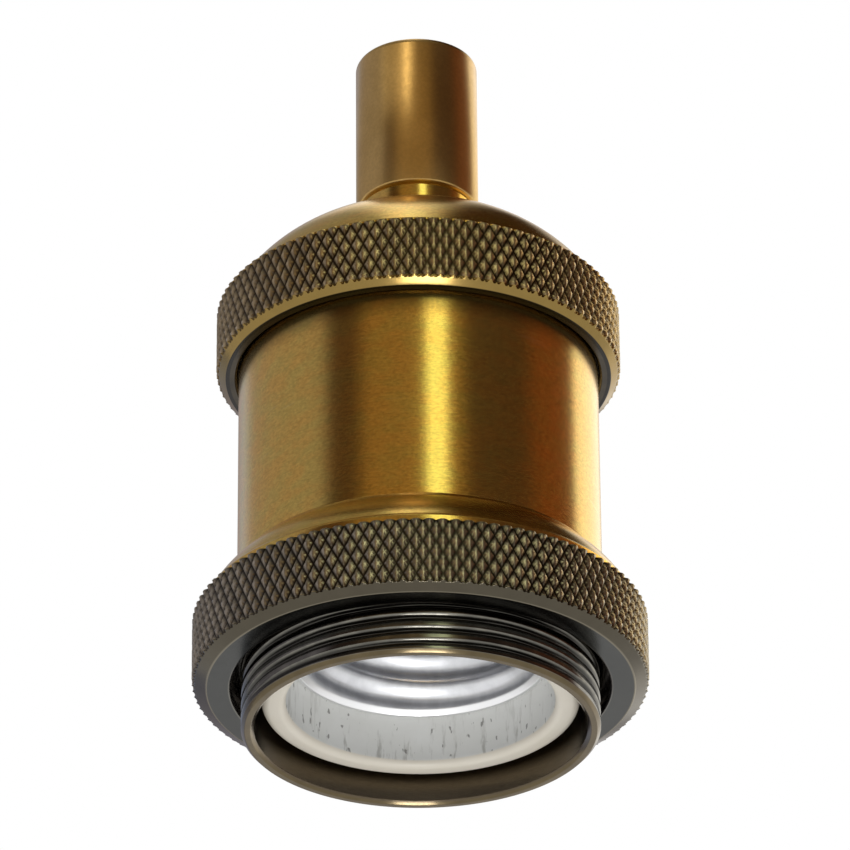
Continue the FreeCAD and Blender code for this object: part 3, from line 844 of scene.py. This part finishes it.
# %% [markdown]
# ## Flags
# In a studio, small black flags stand between a lamp and what it should not light. Blender's light
# linking does the same: a collection says which pieces a lamp lights, or which it leaves out.

# %% Flags
def light_only(lamp, targets, state):
    """Includes or excludes pieces from what a lamp lights."""
    lit = bpy.data.collections.new(lamp.name + "_flag")
    for target in targets:
        lit.objects.link(target)
    for link in lit.collection_objects:
        link.light_linking.link_state = state
    lamp.light_linking.receiver_collection = lit
    print(lamp.name, state.lower(), [target.name for target in targets])


light_only(strip, [pieces["cord_grip"]], "EXCLUDE")
light_only(grip_lamp, [pieces["cord_grip"]], "INCLUDE")
light_only(grip_fill, [pieces["cord_grip"]], "INCLUDE")
light_only(knurl_lamp, [shade_ring, top_cap], "INCLUDE")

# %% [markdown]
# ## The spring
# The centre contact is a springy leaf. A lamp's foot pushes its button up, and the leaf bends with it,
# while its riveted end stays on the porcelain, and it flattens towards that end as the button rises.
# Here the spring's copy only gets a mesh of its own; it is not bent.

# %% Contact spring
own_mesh(pieces["contact_spring"])

# %% [markdown]
# ## Finishes
# The brass is antiqued: blackened all over in a bath, then brushed back on the outside, so it is golden
# where it was rubbed and stays dark in threads and grooves. Its undersides are dark partly from patina
# and partly as painted shade. Each turned piece has one material, which finds its zones from a point's
# height and its distance from the axis, both in mm.

# %% Finish helpers
brass = (0.72, 0.475, 0.118)
# Dark patina of the antiqued brass, also used as painted shade under the cap and on the cap's underside.
dark_patina_and_shade = (0.026, 0.022, 0.017)
# Dark grey of the ring's underside: patina, darkened further as painted shade.
underside_patina_and_shade = (0.045, 0.046, 0.043)


def metal(shader, colour, roughness, bump=None, brushed=0.0):
    """Metal surface; brushed draws its highlights out along the axis, across lathe lines."""
    inputs = {"Base Color": colour, "Roughness": roughness, "Metallic": 1.0, "Normal": bump,
              "Anisotropic": brushed, "Anisotropic Rotation": 0.25}
    surface = shader.node("ShaderNodeBsdfPrincipled", inputs=inputs)
    shader.node("ShaderNodeOutputMaterial", inputs={"Surface": surface})


def bumped(shader, height, size):
    """Normal from a height of 0 to 1 that stands for a relief of the given size in mm."""
    inputs = {"Height": height, "Distance": size * mm, "Strength": 1.0}
    return shader.node("ShaderNodeBump", inputs=inputs)


def scaled(colour, *amounts):
    """The colour times one amount, or each of its parts times its own."""
    amounts = amounts if len(amounts) > 1 else amounts * 3
    return tuple(part * amount for part, amount in zip(colour, amounts))


print("brass", brass, "under a patina of", dark_patina_and_shade)

# %% [markdown]
# ## Brushed brass
# A turned and brushed surface is covered with short fine lines that run round it. Noise squeezed along
# the axis draws them, a finer noise adds grain, and a slow one lets the tint drift a little from
# greenish to reddish, as hand rubbing leaves it. The lines are only some thousandths of a millimetre
# deep, so a bump is enough for them.

# %% Brushed brass
line_depth = 0.0025
greenish, reddish = scaled(brass, 0.95, 1.02, 1.04), scaled(brass, 1.04, 0.97, 0.95)


def rubbed(shader, spot):
    """Brass with lathe lines, short and fine, and a slow drift of tint; the lines too."""
    lines = shader.noise(spot, (1100, 1100, 6500), 4, 0.75)
    drift = shader.noise(spot, (300, 300, 500), 3)
    grain = shader.noise(spot, (2400, 2400, 3400), 2)
    tone = shader.mix(drift.ramp(0.35, 0.65), greenish, reddish)
    shade = lines.ramp(0.25, 0.75, 0.85, 1.12) * grain.ramp(0.3, 0.7, 0.90, 1.09)
    colour = shader.node("ShaderNodeVectorMath", {"operation": "MULTIPLY"}, {0: tone, 1: shade})
    return colour, lines


print("lathe lines", line_depth, "mm deep")

# %% [markdown]
# ## The sleeve's finish
# The plain body is brushed round the axis, with a few paler scratches, and just under the cap it is
# mixed towards the dark colour as painted shade, where the cap's shadow falls. The skirt below the ring
# is still black in the roots of its thread and worn grey on the crests, its rim is worn to brown, and
# the bore keeps the dark finish.

# %% Sleeve brass
scratch_colour = (0.85, 0.72, 0.45)
root_colour = (0.05, 0.048, 0.042)
crest_colours = (0.13, 0.125, 0.11), (0.21, 0.20, 0.17)
skirt_rim_colours = (0.085, 0.065, 0.038), (0.16, 0.125, 0.07)
sleeve_bore_colours = (0.075, 0.058, 0.038), (0.150, 0.118, 0.078)


def skirt_colour(shader, spot, reach, z):
    """Black in the thread's roots, grey on its crests and brown on the rim."""
    cloud = shader.noise(spot, (400, 400, 400), 3)
    crest = reach.ramp(thread_radius - 0.35, thread_radius - 0.02)
    colour = shader.mix(crest, root_colour, shader.mix(cloud.ramp(0.35, 0.7), *crest_colours))
    rim = z.ramp(0.30, 0.45, 1.0, 0.0)
    return shader.mix(rim, colour, shader.mix(cloud, *skirt_rim_colours))


def sleeve_finish():
    """Brushed brass with a dark bore and skirt."""
    material, shader = new_material("sleeve_brass")
    spot, reach, z = shader.place()
    colour, lines = rubbed(shader, spot)
    scratches = shader.noise(spot, (110, 110, 1900), 1).ramp(0.72, 0.76)
    colour = shader.mix(scratches * 0.18, colour, scratch_colour)
    # Painted shade: a band just under the cap is mixed towards the dark colour, as the cap's shadow.
    painted_shade_under_cap = z.ramp(cap_low.z - 3.4, cap_low.z - 0.3)
    colour = shader.mix(painted_shade_under_cap * 0.65, colour, dark_patina_and_shade)
    skirt = z.ramp(ring_high.z - 0.3, ring_high.z + 0.1, 1.0, 0.0)
    colour = shader.mix(skirt, colour, skirt_colour(shader, spot, reach, z))
    inside = reach.ramp(sleeve_bore + 0.12, sleeve_bore + 0.2, 1.0, 0.0)
    colour = shader.mix(inside, colour, shader.mix(lines, *sleeve_bore_colours))
    rough = lines * 0.08 + 0.18 - skirt * 0.03
    metal(shader, colour, rough, bumped(shader, lines, line_depth), 0.5)
    return material


finishes = {"sleeve_brass": sleeve_finish()}
print("sleeve_brass with", len(finishes["sleeve_brass"].node_tree.nodes), "nodes")

# %% [markdown]
# ## The knurled pieces' finish
# The ring and the cap were dipped whole, then rubbed where a hand or a brush reaches. Their bores and
# the grooves of the knurl are left dark, and only the tops of the diamonds are bare. Their undersides
# are dark patina made darker as painted shade, the cone under the knurl is darkened as painted shade,
# and thin painted highlights run along the underside's edges.
# Both share one function, and each gives it its own heights and colours.

# %% Knurled brass
knurled_bore = (0.07, 0.055, 0.035)


def knurled_finish(name, crest, foot, knurl_span, tops, groove, inner, cone, underside, edges):
    """Brass turning with a knurl over the heights of knurl_span and its underside at foot.

    tops are the two colours of the diamonds' tops and groove that between them, inner the radius and
    height inside and under which the bore is dark, cone the colour of the cone under the knurl, darkened
    as painted shade, underside that of the underside, patina darkened as painted shade, and edges the
    radii of painted highlight lines along the underside, each with a colour.
    """
    material, shader = new_material(name)
    spot, reach, z = shader.place()
    low, high = knurl_span
    colour, lines = rubbed(shader, spot)
    cloud = shader.noise(spot, (500, 500, 500), 3)

    # Painted shade: the cone under the knurl takes a colour darker than the rubbed brass.
    on_cone = z.ramp(low - 0.02, low + 0.02, 1.0, 0.0)
    colour = shader.mix(on_cone, colour, shader.mix(cloud, scaled(cone, 0.85), scaled(cone, 1.1)))
    sunk = reach.ramp(crest - knurl_depth, crest - 0.05, 1.0, 0.0)
    rim = z.between(low, high, 0.03) * reach.ramp(crest - 0.8, crest - 0.7)
    worn = shader.mix(cloud.ramp(0.3, 0.7), *tops)
    colour = shader.mix(rim, colour, shader.mix(sunk ** 0.8, worn, groove))

    # Painted shade: the underside takes its dark colour, patina darkened further.
    floor = foot + 0.02
    under = z.ramp(floor, floor + 0.04, 1.0, 0.0)
    colour = shader.mix(under, colour, shader.mix(cloud, underside, scaled(underside, 1.35)))
    bore = reach.ramp(inner[0], inner[0] + 0.04, 1.0, 0.0) * z.ramp(inner[1], inner[1] + 0.04, 1.0, 0.0)
    colour = shader.mix(bore, colour, shader.mix(cloud, dark_patina_and_shade, knurled_bore))
    # Painted highlights: thin lighter lines along the edges of the underside.
    for at, highlight_colour in edges:
        edge = reach.between(at - 0.10, at + 0.10, 0.05) * z.ramp(floor + 0.2, floor + 0.3, 1.0, 0.0)
        colour = shader.mix(edge, colour, highlight_colour)
    rough = lines * 0.08 + 0.15 + rim * 0.17
    metal(shader, colour, rough, bumped(shader, lines, line_depth), 0.3)
    return material


# The cone and underside colours below are darkened as painted shade; the edge colours are painted
# highlights.
finishes["ring_brass"] = knurled_finish(
    "ring_brass", crest=ring_crest, foot=ring_low.z, knurl_span=(ring_knurl_low, ring_knurl_high),
    tops=((0.38, 0.34, 0.26), (0.54, 0.48, 0.36)), groove=(0.030, 0.025, 0.018),
    inner=(mouth_radius + 0.05, ring_high.z - 0.9), cone=(0.088, 0.076, 0.055), underside=underside_patina_and_shade,
    edges=[(ring_flat, (0.17, 0.15, 0.11)), (mouth_radius + 0.1, (0.13, 0.125, 0.11))])
finishes["cap_brass"] = knurled_finish(
    "cap_brass", crest=cap_crest, foot=cap_low.z, knurl_span=(cap_knurl_low, cap_knurl_high),
    tops=((0.44, 0.35, 0.21), (0.62, 0.49, 0.28)), groove=(0.042, 0.028, 0.013),
    inner=(21.0, dome_foot), cone=(0.255, 0.17, 0.052), underside=scaled(dark_patina_and_shade, 0.6),
    edges=[(sleeve_radius + 0.3, (0.26, 0.22, 0.16))])
print("ring_brass with", len(finishes["ring_brass"].node_tree.nodes), "nodes")

# %% [markdown]
# ## The grip and the hardware
# The grip is blasted, not brushed, so its grain is fine and has no direction, and it is paler and
# softer than the body. The nuts, the screws and the contacts were never blackened. They are plain
# plated steel, brass and bronze, a little cloudy with handling.

# %% Plain metals
def plain_metal(name, colour, roughness):
    """Metal of one colour, cloudy with handling."""
    material, shader = new_material(name)
    cloud = shader.noise(shader.spot(), (400, 400, 400), 3)
    tone = shader.mix(cloud.ramp(0.3, 0.7), scaled(colour, 0.85), colour)
    metal(shader, tone, cloud * 0.12 + roughness)
    return material


def grip_finish():
    """Satin brass with a fine grain that has no direction."""
    material, shader = new_material("grip_brass")
    spot = shader.spot()
    grain = shader.noise(spot, (2600, 2600, 2600), 3, 0.6)
    cloud = shader.noise(spot, (260, 260, 200), 3)
    tone = shader.mix(cloud.ramp(0.3, 0.7), (0.58, 0.38, 0.13), (0.66, 0.44, 0.16))
    tone = shader.mix(grain.ramp(0.3, 0.7) * 0.22, tone, (0.30, 0.20, 0.07))
    metal(shader, tone, grain * 0.10 + 0.25, bumped(shader, grain, 0.004))
    return material


plain_metals = {
    "plated_steel": ((0.62, 0.62, 0.60), 0.3),
    "screw_steel": ((0.55, 0.55, 0.54), 0.25),
    "contact_brass": ((0.66, 0.50, 0.24), 0.25),
    "spring_bronze": ((0.60, 0.40, 0.24), 0.25),
}
finishes["grip_brass"] = grip_finish()
for name, (colour, roughness) in plain_metals.items():
    finishes[name] = plain_metal(name, colour, roughness)
print("grip_brass and", len(plain_metals), "plain metals")

# %% [markdown]
# ## The porcelain
# The rim is glazed cream. The wall inside it is bare and grey, with dark specks and drag marks that
# run in from the mouth, where lamp caps have rubbed. Noise drawn out along the axis gives the drags,
# and noise cut off near its peaks gives the specks.

# %% Porcelain
core_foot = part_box("ceramic_core")[0].z / mm
glazed_colours = (0.72, 0.66, 0.55), (0.80, 0.75, 0.66)
bare_colours = (0.68, 0.68, 0.65), (0.80, 0.805, 0.79)
drag_colour, speck_colour = (0.26, 0.25, 0.22), (0.12, 0.11, 0.10)
glaze_edge = 15.0


def bare_porcelain(shader, spot, z, cloud):
    """Colour of the unglazed wall: grey, with drag marks near the mouth, and specks."""
    drags = shader.noise(spot, (900, 900, 160), 4, 0.7).ramp(0.53, 0.66)
    near_mouth = z.ramp(core_foot + 1.0, core_foot + 4.5, 1.0, 0.35)
    bare = shader.mix(drags * near_mouth * 0.55, shader.mix(cloud, *bare_colours), drag_colour)
    specks = shader.noise(spot, (1400, 1400, 700), 2).ramp(0.655, 0.70)
    return shader.mix(specks * 0.7, bare, speck_colour)


def porcelain_finish():
    """Glazed rim, and a bare wall inside it."""
    material, shader = new_material("porcelain")
    spot, reach, z = shader.place()
    cloud = shader.noise(spot, (220, 220, 220), 4)
    inner = reach.ramp(glaze_edge, glaze_edge + 0.2, 1.0, 0.0)
    inner = inner * z.ramp(core_foot + 0.6, core_foot + 0.85)
    bare = bare_porcelain(shader, spot, z, cloud)
    colour = shader.mix(inner, shader.mix(cloud, *glazed_colours), bare)
    surface = shader.node("ShaderNodeBsdfPrincipled", inputs={
        "Base Color": colour, "Roughness": cloud * 0.2 + 0.30 + inner * 0.2,
        "Normal": bumped(shader, cloud, 0.04)})
    shader.node("ShaderNodeOutputMaterial", inputs={"Surface": surface})
    return material


finishes["porcelain"] = porcelain_finish()
print("porcelain glazed outside", glaze_edge, "mm")

# %% [markdown]
# ## The shell's metal
# The thin shell is plated, so it is paler than the brass. Lamp caps have dulled it inside, and its lip
# is a little smoother, with a lighter colour on it as a painted highlight.

# %% Shell metal
def shell_finish():
    """Plated shell, dull inside, with a painted highlight along the lip."""
    material, shader = new_material("shell_metal")
    spot = shader.spot()
    cloud = shader.noise(spot, (500, 500, 350), 4)
    dulled = shader.mix(cloud.ramp(0.3, 0.7), (0.66, 0.665, 0.69), (0.80, 0.805, 0.83))
    # Painted highlight: the band of the lip takes a lighter colour.
    lip = (shader.parts(spot)[2] * (1 / mm)).ramp(shell_low.z + 0.45, shell_low.z + 0.8, 1.0, 0.0)
    metal(shader, shader.mix(lip, dulled, (0.92, 0.92, 0.93)), cloud * 0.12 + 0.30 - lip * 0.05)
    return material


finishes["shell_metal"] = shell_finish()

# %% [markdown]
# ## Dressing
# Each piece carries the name of its finish: the new ones in their slot, and the frame's own nodes in
# the record. One loop gives every mesh the material of that name.

# %% Dress every piece
for piece in list(bpy.data.objects):
    node = piece.get("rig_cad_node")
    slot = piece.get("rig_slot") or (node and node_slots[node])
    if slot and piece.type == "MESH":
        piece.data.materials.clear()
        piece.data.materials.append(finishes[slot])
print(len(finishes), "finishes")
